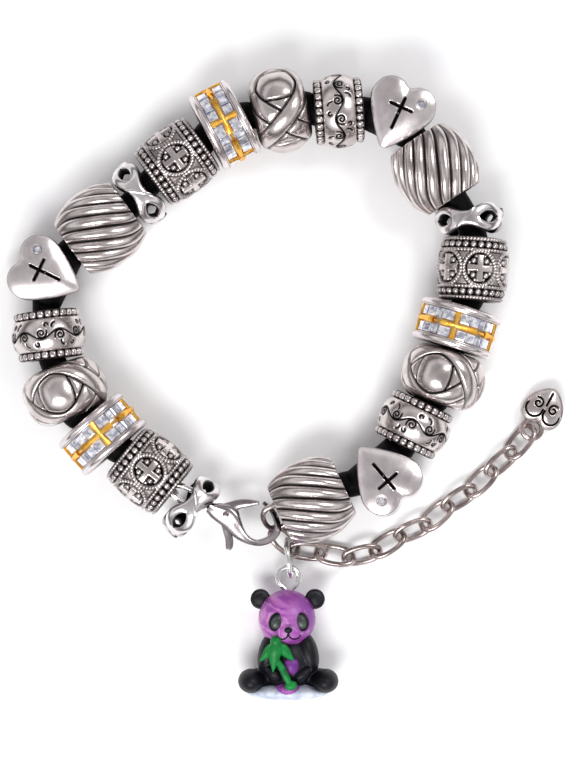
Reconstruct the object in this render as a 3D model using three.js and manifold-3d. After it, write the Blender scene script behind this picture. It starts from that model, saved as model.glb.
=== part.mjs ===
// A charm bracelet fastened into a loop and lying on a flat surface: a rubber cord threaded with
// large-hole metal beads, a lobster clasp with a sprung lever, an extender chain and a panda charm.
// Millimetres, +Z up. The origin is under the middle of the whole outline, on the surface it lies on.
import * as THREE from "three";
import { mergeVertices } from "three/addons/utils/BufferGeometryUtils.js";
import Module from "manifold-3d";

const wasm = await Module();
wasm.setup();

// Driving dimensions.
const CORD_Z = 6.4; // height of the cord's centre line, set by the widest bead resting on the surface
const CORD_RADIUS = 1.95;
const BORE_RADIUS = 2.95; // hole through every bead but the hearts
const SLEEVE = { radius: 3.3, length: 8.4, clearance: 0.25 }; // thick stretch of the cord in each heart
const EYE_HOLE = 0.85; // radius of the hole in the eyes of the end caps and of the clasp
const EYE_WIRE = 0.26; // radius of the wire of those eyes
const SPACER_Z = 5.5; // the wide spacers hang loosely on the cord

const LINK = { length: 6.45, width: 4.1, wire: 0.9, roll: 40 };
const HITCH = { length: 5.6, width: 4.6, wire: 0.9 }; // the link that the hook holds
const CONNECTOR = { width: 3.2, wire: 0.9 };
const CHARM_RING = { diameter: 6.3, wire: 0.8 };
const PIN_LOOP = { radius: 1.6, wire: 0.85 };
const CLASP = { thickness: 2.8, hookThickness: 1.3, slot: 1.8, lever: 1.2, azimuth: -24 };

// Size of each kind of bead: length along the bore, and how far the bore lies inward of its middle.
const BEAD_KINDS = {
  ichthys: { length: 4.5, inward: 0 },
  granulated: { length: 9.4, inward: 0 },
  two_tone: { length: 6.4, inward: 0 },
  knot: { length: 8.0, inward: 0 },
  scroll: { length: 7.2, inward: 0 },
  heart: { length: 10.2, inward: 0.8 },
  ribbed: { length: 10.5, inward: 0 },
};

// The beads clockwise from the clasp: the middle of each, the direction of its bore, its roll on it.
const BEADS = [
  { kind: "ichthys", x: -11.1, y: -31.0, heading: 139, roll: -30 },
  { kind: "granulated", x: -17.2, y: -25.6, heading: 141, roll: 0 },
  { kind: "two_tone", x: -24.3, y: -20.05, heading: 131, roll: 0 },
  { kind: "knot", x: -29.85, y: -13.75, heading: 112, roll: 0 },
  { kind: "scroll", x: -32.35, y: -5.3, heading: 97, roll: 0 },
  { kind: "heart", x: -32.9, y: 4.05, heading: 64, roll: 8 },
  { kind: "ribbed", x: -24.6, y: 10.7, heading: 36, roll: 0 },
  { kind: "ichthys", x: -18.85, y: 15.95, heading: 38, roll: -42 },
  { kind: "granulated", x: -13.1, y: 20.65, heading: 36, roll: 0 },
  { kind: "two_tone", x: -6.0, y: 26.2, heading: 27.5, roll: 0 },
  { kind: "knot", x: 2.25, y: 28.4, heading: 13, roll: 0 },
  { kind: "scroll", x: 11.0, y: 28.2, heading: 4, roll: 0 },
  { kind: "heart", x: 19.95, y: 27.85, heading: -25, roll: 8 },
  { kind: "ribbed", x: 25.47, y: 19.55, heading: -57, roll: 0 },
  { kind: "ichthys", x: 30.7, y: 12.08, heading: -86, roll: -32 },
  { kind: "granulated", x: 31.1, y: 4.5, heading: -94, roll: 0 },
  { kind: "two_tone", x: 28.65, y: -4.2, heading: -107, roll: 0 },
  { kind: "knot", x: 26.65, y: -11.55, heading: -108, roll: 0 },
  { kind: "scroll", x: 22.3, y: -18.65, heading: -116, roll: 0 },
  { kind: "heart", x: 17.9, y: -26.6, heading: -139.5, roll: 8 },
  { kind: "ribbed", x: 7.0, y: -29.95, heading: -155, roll: 0 },
];

// Where each pair of chain links meets, from the hitch link to the end heart.
const CHAIN_JOINTS = [
  { x: 1.35, y: -35.1, z: 4.1 },
  { x: 4.4, y: -37.65, z: 2.4 },
  { x: 8.4, y: -38.25, z: 1.6 },
  { x: 12.7, y: -39.0, z: 1.6 },
  { x: 16.65, y: -38.1, z: 1.6 },
  { x: 20.5, y: -35.6, z: 1.6 },
  { x: 24.4, y: -34.0, z: 1.6 },
  { x: 27.7, y: -31.05, z: 1.6 },
  { x: 31.3, y: -28.8, z: 1.6 },
  { x: 34.2, y: -25.85, z: 1.6 },
  { x: 37.5, y: -22.95, z: 1.6 },
  { x: 39.95, y: -19.9, z: 1.6 },
];

const metal = (color, roughness) => new THREE.MeshStandardMaterial({ color, roughness, metalness: 1 });
const MATERIALS = {
  antique: metal(0xa09690, 0.32),
  bright: metal(0xc9c4c8, 0.22),
  chain: metal(0x8c807a, 0.38),
  rubber: new THREE.MeshStandardMaterial({ color: 0x111012, roughness: 0.55, metalness: 0 }),
  resin: new THREE.MeshStandardMaterial({ color: 0x8f3f9c, roughness: 0.35, metalness: 0 }),
};

const radians = THREE.MathUtils.degToRad;

// --- Small tools -------------------------------------------------------------------------------

// A geometry's closed surface as a solid that can be joined and cut.
function solid(geometry) {
  const bare = geometry.index ? geometry.toNonIndexed() : geometry.clone();
  bare.deleteAttribute("normal");
  bare.deleteAttribute("uv");
  const merged = mergeVertices(bare, 1e-4);
  return new wasm.Manifold(
    new wasm.Mesh({
      numProp: 3,
      vertProperties: merged.attributes.position.array,
      triVerts: new Uint32Array(merged.index.array),
    }),
  );
}

function surface(made) {
  const { vertProperties, triVerts } = made.getMesh();
  const geometry = new THREE.BufferGeometry();
  geometry.setAttribute("position", new THREE.BufferAttribute(vertProperties, 3));
  geometry.setIndex(new THREE.BufferAttribute(triVerts, 1));
  return geometry;
}

function joined(geometries) {
  return surface(geometries.map(solid).reduce((sum, next) => sum.add(next)));
}

// Moves every vertex of a geometry by a function of its place.
function reshaped(geometry, move) {
  const { position } = geometry.attributes;
  const vertex = new THREE.Vector3();
  for (let i = 0; i < position.count; i += 1) {
    move(vertex.fromBufferAttribute(position, i));
    position.setXYZ(i, vertex.x, vertex.y, vertex.z);
  }
  return geometry;
}

// A turned ring about Y from its outer profile, [radius, distance along Y], around a plain bore.
// The half-facet start turns one flat facet to face straight down.
function turned(outer, bore, sides) {
  const first = outer[0][1];
  const last = outer[outer.length - 1][1];
  const profile = [[bore, first], ...outer, [bore, last], [bore, first]];
  const points = profile.map(([radius, along]) => new THREE.Vector2(radius, along));
  return new THREE.LatheGeometry(points, sides, Math.PI / sides);
}

// The same profile on both sides of the middle, given from the middle outward.
function mirrored(half) {
  const near = half.filter(([, along]) => along > 0).reverse();
  return [...near.map(([radius, along]) => [radius, -along]), ...half];
}

// An oval ring in XY, longer along X: a torus whose halves are drawn apart.
function ovalRing({ length, width, wire }, sides = 6, steps = 14) {
  const straight = (length - width) / 2;
  const ring = new THREE.TorusGeometry((width - wire) / 2, wire / 2, sides, steps);
  return reshaped(ring, (v) => {
    v.x += straight * Math.sign(Math.round(v.x * 1e4));
  });
}

// A closed outline through a few points, given as [x, y], extruded about z = 0.
function plate(outline, thickness, divisions, holes = []) {
  const curve = new THREE.CatmullRomCurve3(
    outline.map(([x, y]) => new THREE.Vector3(x, y, 0)),
    true,
    "centripetal",
  );
  const shape = new THREE.Shape(curve.getPoints(divisions).slice(0, -1));
  shape.holes.push(...holes);
  const geometry = new THREE.ExtrudeGeometry(shape, { depth: thickness, bevelEnabled: false });
  return geometry.translate(0, 0, -thickness / 2);
}

// --- Beads, each with its bore along Y and the outer side of the bracelet towards -X -------------

function granulatedBead(length) {
  const half = length / 2;
  const profile = [[5.4, 0], [5.3, 0.34 * half], [5.05, 0.7 * half], [4.85, 0.86 * half], [4.7, half]];
  return turned(mirrored(profile), BORE_RADIUS, 18);
}

function twoToneBead(length) {
  const half = length / 2;
  const rim = half - 1.1;
  const profile = [[5.75, rim], [6.2, rim + 0.15], [6.2, half - 0.3], [5.9, half]];
  return turned(mirrored(profile), BORE_RADIUS, 20);
}

function knotBead(length) {
  const half = length / 2;
  const belt = 0.9; // half the width of the flat belt that the bead rests on
  const profile = [[CORD_Z / Math.cos(Math.PI / 20), belt], [5.9, 0.55 * half], [5.0, 0.82 * half], [4.0, half]];
  return turned(mirrored(profile), BORE_RADIUS, 20);
}

function scrollBead(length) {
  const half = length / 2;
  const stud = half - 1.2;
  const profile = [[5.5, 0], [5.3, 0.62 * stud], [4.8, stud], [4.9, stud + 0.3], [4.8, half]];
  return turned(mirrored(profile), BORE_RADIUS, 18);
}

function ribbedBead(length) {
  const RIBS = 16;
  const RIB_HEIGHT = 0.3;
  const TWIST = radians(66);
  const half = length / 2;
  const profile = [[5.7, 0], [5.5, 0.38 * half], [5.05, 0.72 * half], [4.35, half]];
  const barrel = turned(mirrored(profile), BORE_RADIUS, 2 * RIBS);
  return reshaped(barrel, (v) => {
    const radius = Math.hypot(v.x, v.z);
    if (radius < BORE_RADIUS + 0.1) return;
    const angle = Math.atan2(v.x, v.z);
    const facet = Math.round(angle * (RIBS / Math.PI) - 0.5);
    const ribbed = radius + (facet % 2 === 0 ? RIB_HEIGHT : -RIB_HEIGHT);
    const turn = angle + (TWIST * v.y) / length;
    v.x = ribbed * Math.sin(turn);
    v.z = ribbed * Math.cos(turn);
  });
}

// Two wavy strands round the bore, crossing four times and leaving four almond-shaped openings.
function ichthysBead(length) {
  const WIRE = 0.62;
  const RADIUS = 4.45;
  const CROSSINGS = 4;
  const swing = length / 2 - WIRE;
  const strand = (side) => {
    const ring = new THREE.TorusGeometry(RADIUS, WIRE, 5, 24).rotateX(Math.PI / 2);
    return reshaped(ring, (v) => {
      v.y += side * swing * Math.cos((Math.atan2(v.x, v.z) * CROSSINGS) / 2);
    });
  };
  return joined([strand(1), strand(-1)]);
}

// A puffed heart, its point towards +X, pierced along Y.
function heartOutline(width, height, arcs) {
  const lobe = width / 4;
  const top = height / 2 - lobe;
  const tip = -height / 2;
  const shape = new THREE.Shape();
  shape.moveTo(0, top + 0.35 * lobe);
  shape.bezierCurveTo(0.5 * lobe, top + 1.3 * lobe, 1.95 * lobe, top + 1.2 * lobe, 2 * lobe, top - 0.3 * lobe);
  shape.bezierCurveTo(2 * lobe, top - 1.6 * lobe, 0.75 * lobe, tip + 0.75 * lobe, 0, tip);
  shape.bezierCurveTo(-0.75 * lobe, tip + 0.75 * lobe, -2 * lobe, top - 1.6 * lobe, -2 * lobe, top - 0.3 * lobe);
  shape.bezierCurveTo(-1.95 * lobe, top + 1.2 * lobe, -0.5 * lobe, top + 1.3 * lobe, 0, top + 0.35 * lobe);
  return new THREE.Shape(shape.getPoints(arcs).slice(0, -1));
}

function puffedHeart(width, height, thickness, puff, arcs) {
  const inset = 1.4 * puff;
  const geometry = new THREE.ExtrudeGeometry(heartOutline(width - 2 * inset, height - 2 * inset, arcs), {
    depth: thickness - 2 * puff,
    bevelSegments: 2,
    bevelThickness: puff,
    bevelSize: inset,
  });
  return geometry.translate(0, 0, puff - thickness / 2);
}

function heartBead(length) {
  const HEIGHT = 10.6;
  const THICKNESS = 8.4;
  const body = puffedHeart(length, HEIGHT, THICKNESS, 1.3, 5).rotateZ(Math.PI / 2);
  body.translate(-BEAD_KINDS.heart.inward, 0, 0);
  const hole = SLEEVE.radius + SLEEVE.clearance;
  const bore = new THREE.CylinderGeometry(hole, hole, 2 * length, 16);
  return surface(solid(body).subtract(solid(bore)));
}

const BEAD_MAKERS = {
  ichthys: ichthysBead,
  granulated: granulatedBead,
  two_tone: twoToneBead,
  knot: knotBead,
  scroll: scrollBead,
  heart: heartBead,
  ribbed: ribbedBead,
};

const direction = (heading) => new THREE.Vector3(Math.cos(radians(heading)), Math.sin(radians(heading)), 0);

// The point of a bead's bore that lies some way along it from the bead's middle.
function borePoint(bead, along) {
  const { inward } = BEAD_KINDS[bead.kind];
  const height = bead.kind === "ichthys" ? SPACER_Z : CORD_Z;
  return new THREE.Vector3(bead.x, bead.y, height)
    .addScaledVector(direction(bead.heading), along)
    .addScaledVector(direction(bead.heading - 90), inward);
}

function addBeads(group) {
  const made = {};
  for (const bead of BEADS) {
    made[bead.kind] = (made[bead.kind] ?? 0) + 1;
    const stand = new THREE.Group();
    stand.position.copy(borePoint(bead, 0));
    stand.rotation.z = radians(bead.heading - 90);
    const material = bead.kind === "ichthys" ? MATERIALS.bright : MATERIALS.antique;
    const mesh = new THREE.Mesh(BEAD_MAKERS[bead.kind](BEAD_KINDS[bead.kind].length), material.clone());
    mesh.name = `${bead.kind}_${made[bead.kind]}`;
    mesh.rotation.y = radians(bead.roll);
    stand.add(mesh);
    group.add(stand);
  }
}

// --- Core cord and its end caps ------------------------------------------------------------------

const CAP_AT = 1.2; // from the middle of the end beads to the cord's end
const CAP = { length: 1.5, radius: 2.1 };
const THREADED = BEADS.slice(1);
const FIRST_BEAD = THREADED[0];
const LAST_BEAD = THREADED[THREADED.length - 1];

// The cord runs straight through the beads that fit it closely, and bends in the hearts and spacers.
function cordPoints(bead) {
  if (bead.kind === "ichthys") return [];
  const reach = (bead.kind === "heart" ? 0.15 : 0.46) * BEAD_KINDS[bead.kind].length;
  const start = bead === FIRST_BEAD ? -CAP_AT : -reach;
  const end = bead === LAST_BEAD ? CAP_AT : reach;
  return [borePoint(bead, start), borePoint(bead, end)];
}

function coreCord() {
  const points = THREADED.flatMap(cordPoints);
  const SIDES = 8;
  const section = new THREE.Shape();
  section.absarc(0, 0, CORD_RADIUS, 0, 2 * Math.PI);
  const cord = new THREE.ExtrudeGeometry(new THREE.Shape(section.getSpacedPoints(SIDES).slice(0, -1)), {
    steps: 72,
    extrudePath: new THREE.CatmullRomCurve3(points, false, "centripetal"),
  });
  const hearts = BEADS.filter(({ kind }) => kind === "heart");
  const sleeves = hearts.map((bead) => {
    const sleeve = new THREE.CylinderGeometry(SLEEVE.radius, SLEEVE.radius, SLEEVE.length, 16);
    const { x, y, z } = borePoint(bead, 0);
    return sleeve.rotateZ(radians(bead.heading - 90)).translate(x, y, z);
  });
  return joined([cord, ...sleeves]);
}

// A plug against the cord's end with an upright eye, along +X.
function endCap() {
  const plug = new THREE.CylinderGeometry(CAP.radius, CAP.radius, CAP.length, 12).rotateZ(Math.PI / 2);
  plug.translate(CAP.length / 2, 0, 0);
  const eye = new THREE.TorusGeometry(EYE_HOLE + EYE_WIRE, EYE_WIRE, 6, 12).rotateX(Math.PI / 2);
  eye.translate(CAP.length + EYE_HOLE + EYE_WIRE, 0, 0);
  return joined([plug, eye]);
}

const EYE_AT = CAP_AT + 0.3 + CAP.length + EYE_HOLE + EYE_WIRE; // from the bead's middle

function addCord(group) {
  const cord = new THREE.Mesh(coreCord(), MATERIALS.rubber.clone());
  cord.name = "core_cord";
  group.add(cord);
  const ends = [
    { name: "end_cap_1", bead: FIRST_BEAD, outward: -1 },
    { name: "end_cap_2", bead: LAST_BEAD, outward: 1 },
  ];
  for (const { name, bead, outward } of ends) {
    const cap = new THREE.Mesh(endCap(), MATERIALS.antique.clone());
    cap.name = name;
    cap.position.copy(borePoint(bead, outward * (CAP_AT + 0.3)));
    cap.rotation.z = radians(bead.heading + (outward < 0 ? 180 : 0));
    group.add(cap);
  }
}

// --- Lobster clasp, in its own plane: the pivot at the origin, the hook towards +X ----------------

const PIVOT = new THREE.Vector3(-5.8, -32.0, CORD_Z);
const BODY_OUTLINE = [
  [-2.9, -0.9], [-1.6, -1.5], [0.3, -2.0], [2.6, -2.75], [5.0, -2.8], [6.8, -2.2], [8.0, -1.1], [8.55, 0.3],
  [8.35, 1.5], [7.5, 2.6], [6.3, 3.5], [4.5, 4.0], [4.35, 3.5], [5.6, 3.0], [6.7, 2.1], [7.35, 1.1], [7.4, 0.1],
  [6.7, -1.0], [5.5, -1.75], [4.3, -1.6], [3.1, -0.7], [2.1, 0.4], [1.5, 1.1], [0.2, 1.5], [-1.0, 1.2], [-2.6, 0.6],
];
const SLOT_OUTLINE = [[-1.7, -4.5], [-1.7, 4.5], [3.0, 4.5], [3.0, -4.5]];
const LEVER_OUTLINE = [
  [-1.1, 0.9], [-0.2, 1.9], [1.1, 2.85], [2.5, 3.45], [3.7, 3.75], [3.95, 3.3], [2.9, 2.45], [1.6, 1.5],
  [1.15, 0.3], [1.5, -1.2], [2.2, -2.6], [2.7, -3.6], [2.75, -4.6], [2.3, -4.85], [1.6, -3.7], [0.4, -2.3],
  [-0.6, -1.0],
];
const PIN_RADIUS = 0.4;
const PIN_CLEARANCE = 0.25;

// The clasp thins from its base towards the tip of the hook.
function hookTaper(v) {
  const { thickness, hookThickness } = CLASP;
  const along = THREE.MathUtils.smoothstep(v.x + Math.max(0, v.y), 2.5, 8.0);
  v.z *= THREE.MathUtils.lerp(1, hookThickness / thickness, along);
}

function claspBody() {
  const blank = reshaped(plate(BODY_OUTLINE, CLASP.thickness, 52), hookTaper);
  const eye = new THREE.TorusGeometry(EYE_HOLE + EYE_WIRE, EYE_WIRE, 6, 12).rotateX(Math.PI / 2);
  eye.translate(-2.75 - EYE_HOLE - EYE_WIRE, -0.1, 0);
  const slotShape = new THREE.Shape(SLOT_OUTLINE.map(([x, y]) => new THREE.Vector2(x, y)));
  const slot = new THREE.ExtrudeGeometry(slotShape, { depth: CLASP.slot, bevelEnabled: false });
  slot.translate(0, 0, -CLASP.slot / 2);
  const pin = new THREE.CylinderGeometry(PIN_RADIUS, PIN_RADIUS, CLASP.thickness - 0.2, 12).rotateX(Math.PI / 2);
  return surface(solid(blank).subtract(solid(slot)).add(solid(pin)).add(solid(eye)));
}

function claspLever() {
  const hole = PIN_RADIUS + PIN_CLEARANCE;
  const bore = new THREE.CylinderGeometry(hole, hole, 2 * CLASP.lever, 12).rotateX(Math.PI / 2);
  return surface(solid(plate(LEVER_OUTLINE, CLASP.lever, 34)).subtract(solid(bore)));
}

function addClasp(group) {
  const clasp = new THREE.Group();
  clasp.position.copy(PIVOT);
  clasp.rotation.z = radians(CLASP.azimuth);
  const pieces = [
    { name: "clasp_body", geometry: claspBody() },
    { name: "clasp_lever", geometry: claspLever() },
  ];
  for (const { name, geometry } of pieces) {
    const mesh = new THREE.Mesh(geometry, MATERIALS.bright.clone());
    mesh.name = name;
    clasp.add(mesh);
  }
  group.add(clasp);

  // The connector link joins the first end cap's eye to the clasp's.
  const capEye = borePoint(FIRST_BEAD, -EYE_AT);
  const claspEye = new THREE.Vector3(-2.75 - EYE_HOLE - EYE_WIRE, -0.1, 0)
    .applyAxisAngle(new THREE.Vector3(0, 0, 1), radians(CLASP.azimuth))
    .add(PIVOT);
  const { wire } = CONNECTOR;
  const length = capEye.distanceTo(claspEye) + wire;
  const connector = new THREE.Mesh(ovalRing({ ...CONNECTOR, length }), MATERIALS.bright.clone());
  connector.name = "connector_link";
  connector.position.copy(capEye).lerp(claspEye, 0.5);
  connector.rotation.z = Math.atan2(claspEye.y - capEye.y, claspEye.x - capEye.x);
  group.add(connector);
}

// --- Extender chain, its end heart and the charm --------------------------------------------------

// Lays an oval link between two points, rolled about the line that joins them.
function layLink(name, geometry, middle, along, roll) {
  const link = new THREE.Mesh(geometry, MATERIALS.chain.clone());
  link.name = name;
  link.rotation.x = radians(roll);
  const carrier = new THREE.Group();
  carrier.position.copy(middle);
  carrier.rotation.order = "ZYX";
  carrier.rotation.z = Math.atan2(along.y, along.x);
  carrier.rotation.y = -Math.asin(along.z / along.length());
  carrier.add(link);
  return carrier;
}

function addChain(group) {
  const heading = direction(LAST_BEAD.heading);
  const HITCH_DIP = radians(42); // the hitch link dips under the hook at its far end
  const hitchAlong = direction(LAST_BEAD.heading + 90)
    .multiplyScalar(Math.cos(HITCH_DIP))
    .setZ(-Math.sin(HITCH_DIP));
  const hitchMiddle = borePoint(LAST_BEAD, EYE_AT).addScaledVector(heading, (HITCH.width - HITCH.wire) / 2);
  group.add(layLink("chain_link_1", ovalRing(HITCH), hitchMiddle, hitchAlong, 0));

  const joints = CHAIN_JOINTS.map(({ x, y, z }) => new THREE.Vector3(x, y, z));
  for (let i = 1; i < joints.length; i += 1) {
    const along = joints[i].clone().sub(joints[i - 1]);
    const middle = joints[i - 1].clone().lerp(joints[i], 0.5);
    const roll = i % 2 === 0 ? LINK.roll : -LINK.roll;
    group.add(layLink(`chain_link_${i + 1}`, ovalRing(LINK), middle, along, roll));
  }
}

const END_HEART = { x: 42.45, y: -16.05, z: 1.7, size: 6.3, thickness: 3.4, azimuth: -120 };

function addEndHeart(group) {
  const { x, y, z, size, thickness, azimuth } = END_HEART;
  const ring = new THREE.TorusGeometry(1.5, 0.38, 6, 14).translate(0, size / 2 + 0.75, 0);
  const heart = puffedHeart(size, size, thickness, 0.8, 4);
  const mesh = new THREE.Mesh(joined([heart, ring]), MATERIALS.chain.clone());
  mesh.name = "end_heart";
  mesh.position.set(x, y, z);
  mesh.rotation.z = radians(azimuth - 90);
  group.add(mesh);
}

const CHARM_RING_PLACE = { x: 3.5, y: -38.95, z: 3.2, azimuth: 97 };
const PIN_LOOP_PLACE = { x: 3.5, y: -41.9, z: 3.3 };
const PIN_SHANK = { radius: 0.42, length: 1.8, clearance: 0.3 };

function addCharmRings(group) {
  const ring = new THREE.Mesh(
    new THREE.TorusGeometry((CHARM_RING.diameter - CHARM_RING.wire) / 2, CHARM_RING.wire / 2, 6, 20),
    MATERIALS.bright.clone(),
  );
  ring.name = "charm_ring";
  ring.geometry.rotateX(Math.PI / 2);
  ring.position.set(CHARM_RING_PLACE.x, CHARM_RING_PLACE.y, CHARM_RING_PLACE.z);
  ring.rotation.z = radians(CHARM_RING_PLACE.azimuth);
  group.add(ring);

  const loop = new THREE.TorusGeometry(PIN_LOOP.radius, PIN_LOOP.wire / 2, 6, 16);
  const shank = new THREE.CylinderGeometry(PIN_SHANK.radius, PIN_SHANK.radius, PIN_SHANK.length, 8);
  shank.translate(0, -PIN_LOOP.radius - PIN_SHANK.length / 2, 0);
  const pin = new THREE.Mesh(joined([loop, shank]), MATERIALS.bright.clone());
  pin.name = "eye_pin";
  pin.position.set(PIN_LOOP_PLACE.x, PIN_LOOP_PLACE.y, PIN_LOOP_PLACE.z);
  group.add(pin);
}

// The panda sits with its back on the surface: x and y from the middle of its body, z from its back.
const PANDA = { x: 3.45, y: -54.0 };
const PANDA_PARTS = [
  { x: 0, y: 6.4, z: 4.7, rx: 4.35, ry: 4.1, rz: 3.9, detail: 12 }, // head
  { x: -4.1, y: 9.1, z: 4.2, rx: 1.5, ry: 1.45, rz: 1.0, detail: 8 }, // left ear
  { x: 4.1, y: 9.1, z: 4.2, rx: 1.5, ry: 1.45, rz: 1.0, detail: 8 }, // right ear
  { x: 0, y: -0.4, z: 4.2, rx: 4.5, ry: 5.0, rz: 4.2, detail: 12 }, // body
  { x: -3.9, y: -0.4, z: 5.2, rx: 1.7, ry: 3.4, rz: 2.2, detail: 8 }, // left arm
  { x: 3.9, y: -0.4, z: 5.2, rx: 1.7, ry: 3.4, rz: 2.2, detail: 8 }, // right arm
  { x: -5.0, y: -3.4, z: 5.2, rx: 2.2, ry: 2.2, rz: 4.4, detail: 8 }, // left leg and foot
  { x: 5.0, y: -3.4, z: 5.2, rx: 2.2, ry: 2.2, rz: 4.4, detail: 8 }, // right leg and foot
  { x: 0, y: -5.0, z: 4.6, rx: 6.6, ry: 1.1, rz: 4.6, detail: 10 }, // seat
  { x: -1.2, y: 0.2, z: 8.2, rx: 1.4, ry: 3.3, rz: 1.0, detail: 8 }, // bamboo leaves
  { x: 0.1, y: -2.4, z: 8.4, rx: 0.7, ry: 2.6, rz: 0.7, detail: 6 }, // bamboo stem
];

function addPanda(group) {
  const lumps = PANDA_PARTS.map(({ x, y, z, rx, ry, rz, detail }) => {
    const ball = new THREE.SphereGeometry(1, detail, detail / 2).rotateX(Math.PI / 2);
    return ball.scale(rx, ry, rz).translate(x, y, z);
  });
  const hole = PIN_SHANK.radius + PIN_SHANK.clearance;
  const socket = new THREE.CylinderGeometry(hole, hole, 4, 8);
  socket.translate(PIN_LOOP_PLACE.x - PANDA.x, 10.2, PIN_LOOP_PLACE.z);
  const casting = lumps.map(solid).reduce((sum, next) => sum.add(next)).subtract(solid(socket));
  const mesh = new THREE.Mesh(surface(casting), MATERIALS.resin.clone());
  mesh.name = "panda_charm";
  mesh.position.set(PANDA.x, PANDA.y, 0);
  group.add(mesh);
}

// --- The whole bracelet ---------------------------------------------------------------------------

const layout = new THREE.Group();
addBeads(layout);
addCord(layout);
addClasp(layout);
addChain(layout);
addEndHeart(layout);
addCharmRings(layout);
addPanda(layout);

// The layout is drawn about the middle of the loop, and moved to stand on the middle of its outline.
layout.updateMatrixWorld(true);
const outline = new THREE.Box3().setFromObject(layout, true);
const middle = outline.getCenter(new THREE.Vector3());
layout.position.set(-middle.x, -middle.y, -outline.min.z);

const bracelet = new THREE.Group();
bracelet.add(layout);

export default bracelet;
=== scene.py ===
import math

import bpy
import numpy as np
from mathutils import Matrix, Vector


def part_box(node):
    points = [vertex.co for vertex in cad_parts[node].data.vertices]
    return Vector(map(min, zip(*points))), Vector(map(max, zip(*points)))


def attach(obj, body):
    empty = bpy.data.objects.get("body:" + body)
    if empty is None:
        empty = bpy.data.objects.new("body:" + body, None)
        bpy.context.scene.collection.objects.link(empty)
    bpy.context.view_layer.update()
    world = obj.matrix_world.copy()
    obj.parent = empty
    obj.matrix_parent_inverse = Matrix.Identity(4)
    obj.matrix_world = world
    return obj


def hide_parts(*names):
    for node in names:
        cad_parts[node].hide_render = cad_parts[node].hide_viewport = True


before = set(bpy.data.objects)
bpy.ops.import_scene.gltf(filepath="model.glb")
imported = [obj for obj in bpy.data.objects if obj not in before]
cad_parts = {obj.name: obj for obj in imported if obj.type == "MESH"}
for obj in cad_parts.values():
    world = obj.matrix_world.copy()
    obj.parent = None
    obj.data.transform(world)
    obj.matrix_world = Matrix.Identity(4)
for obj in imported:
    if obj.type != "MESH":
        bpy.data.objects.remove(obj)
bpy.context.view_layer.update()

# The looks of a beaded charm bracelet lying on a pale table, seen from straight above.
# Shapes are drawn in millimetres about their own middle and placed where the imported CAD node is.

MM = 0.001
TAU = 2 * math.pi


# --- Placing ---


def node_points(node):
    """A CAD node's vertices, in millimetres."""
    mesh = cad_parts[node].data
    points = np.empty(len(mesh.vertices) * 3, np.float32)
    mesh.vertices.foreach_get("co", points)
    return points.reshape(-1, 3).astype(float) / MM


def turn_z(degrees):
    c, s = math.cos(math.radians(degrees)), math.sin(math.radians(degrees))
    return np.array([[c, -s, 0], [s, c, 0], [0, 0, 1.0]])


def turn_y(degrees):
    c, s = math.cos(math.radians(degrees)), math.sin(math.radians(degrees))
    return np.array([[c, 0, s], [0, 1.0, 0], [-s, 0, c]])


def box_along(points, axes):
    """The lowest and highest corner of the points' box along the axes."""
    local = points @ axes
    return local.min(0), local.max(0)


def bead_frame(node, heading, roll):
    """Origin and axes of a bead: Y along its bore, X to the inner side before the roll."""
    axes = turn_z(heading - 90) @ turn_y(roll)
    low, high = box_along(node_points(node), axes)
    return axes @ ((low + high) / 2), axes


def principal_frame(node):
    """Origin, axes (longest first) and size of a flat ring or link."""
    points = node_points(node)
    axes = np.linalg.svd(points - points.mean(0), full_matrices=False)[2].T
    axes[:, 2] = np.cross(axes[:, 0], axes[:, 1])
    low, high = box_along(points, axes)
    return axes @ ((low + high) / 2), axes, high - low


# --- Meshes ---


def linked(name, data):
    """A new object in the scene."""
    made = bpy.data.objects.new(name, data)
    bpy.context.scene.collection.objects.link(made)
    return made


def new_mesh(name, verts, faces, dark, material):
    """A mesh from vertices in millimetres; dark is the darkening at each of them (oxide, and in
    places painted shade), or None.
    """
    mesh = bpy.data.meshes.new(name)
    mesh.from_pydata((verts * MM).tolist(), [], faces)
    if dark is not None:
        mesh.attributes.new("dark", "FLOAT", "POINT").data.foreach_set("value", np.ravel(dark))
    mesh.materials.append(material)
    return mesh


def moved(shape, place):
    """A shape's vertices and faces, carried from its own axes to their place."""
    verts, faces = shape
    return place[0] + verts @ place[1].T, faces


def piece(name, shape, slot, material, nodes=(), place=None, body="bracelet", dark=None, sharp=None):
    """A visible piece, attached to its body; edges steeper than sharp degrees stay sharp."""
    mesh = new_mesh(name, *(moved(shape, place) if place else shape), dark, material)
    mesh.shade_smooth()
    if sharp is not None:
        mesh.set_sharp_from_angle(angle=math.radians(sharp))
    made = linked(name, mesh)
    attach(made, body)
    if nodes:
        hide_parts(*nodes)
    return made


def grid_faces(rows, columns, closed):
    """Quads over rings of vertices, the last joined to the first if it is closed."""
    i = np.arange(rows if closed else rows - 1)[:, None]
    j = np.arange(columns)[None, :]
    here, above = i * columns, (i + 1) % rows * columns
    right = (j + 1) % columns
    quads = np.stack([here + j, here + right, above + right, above + j], axis=-1)
    return quads.reshape(-1, 4).tolist()


def loft(rings, closed=False):
    """A skin over rings of points, an array (rings, points, 3), capped unless it is closed."""
    rings = np.asarray(rings)
    rows, columns = rings.shape[:2]
    verts = rings.reshape(-1, 3)
    faces = grid_faces(rows, columns, closed)
    if not closed:
        ends = [rings[0].mean(0), rings[-1].mean(0)]
        low, high = len(verts), len(verts) + 1
        last = (rows - 1) * columns
        for j in range(columns):
            k = (j + 1) % columns
            faces.append([low, k, j])
            faces.append([high, last + j, last + k])
        verts = np.vstack([verts, ends])
    return verts, faces


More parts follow.
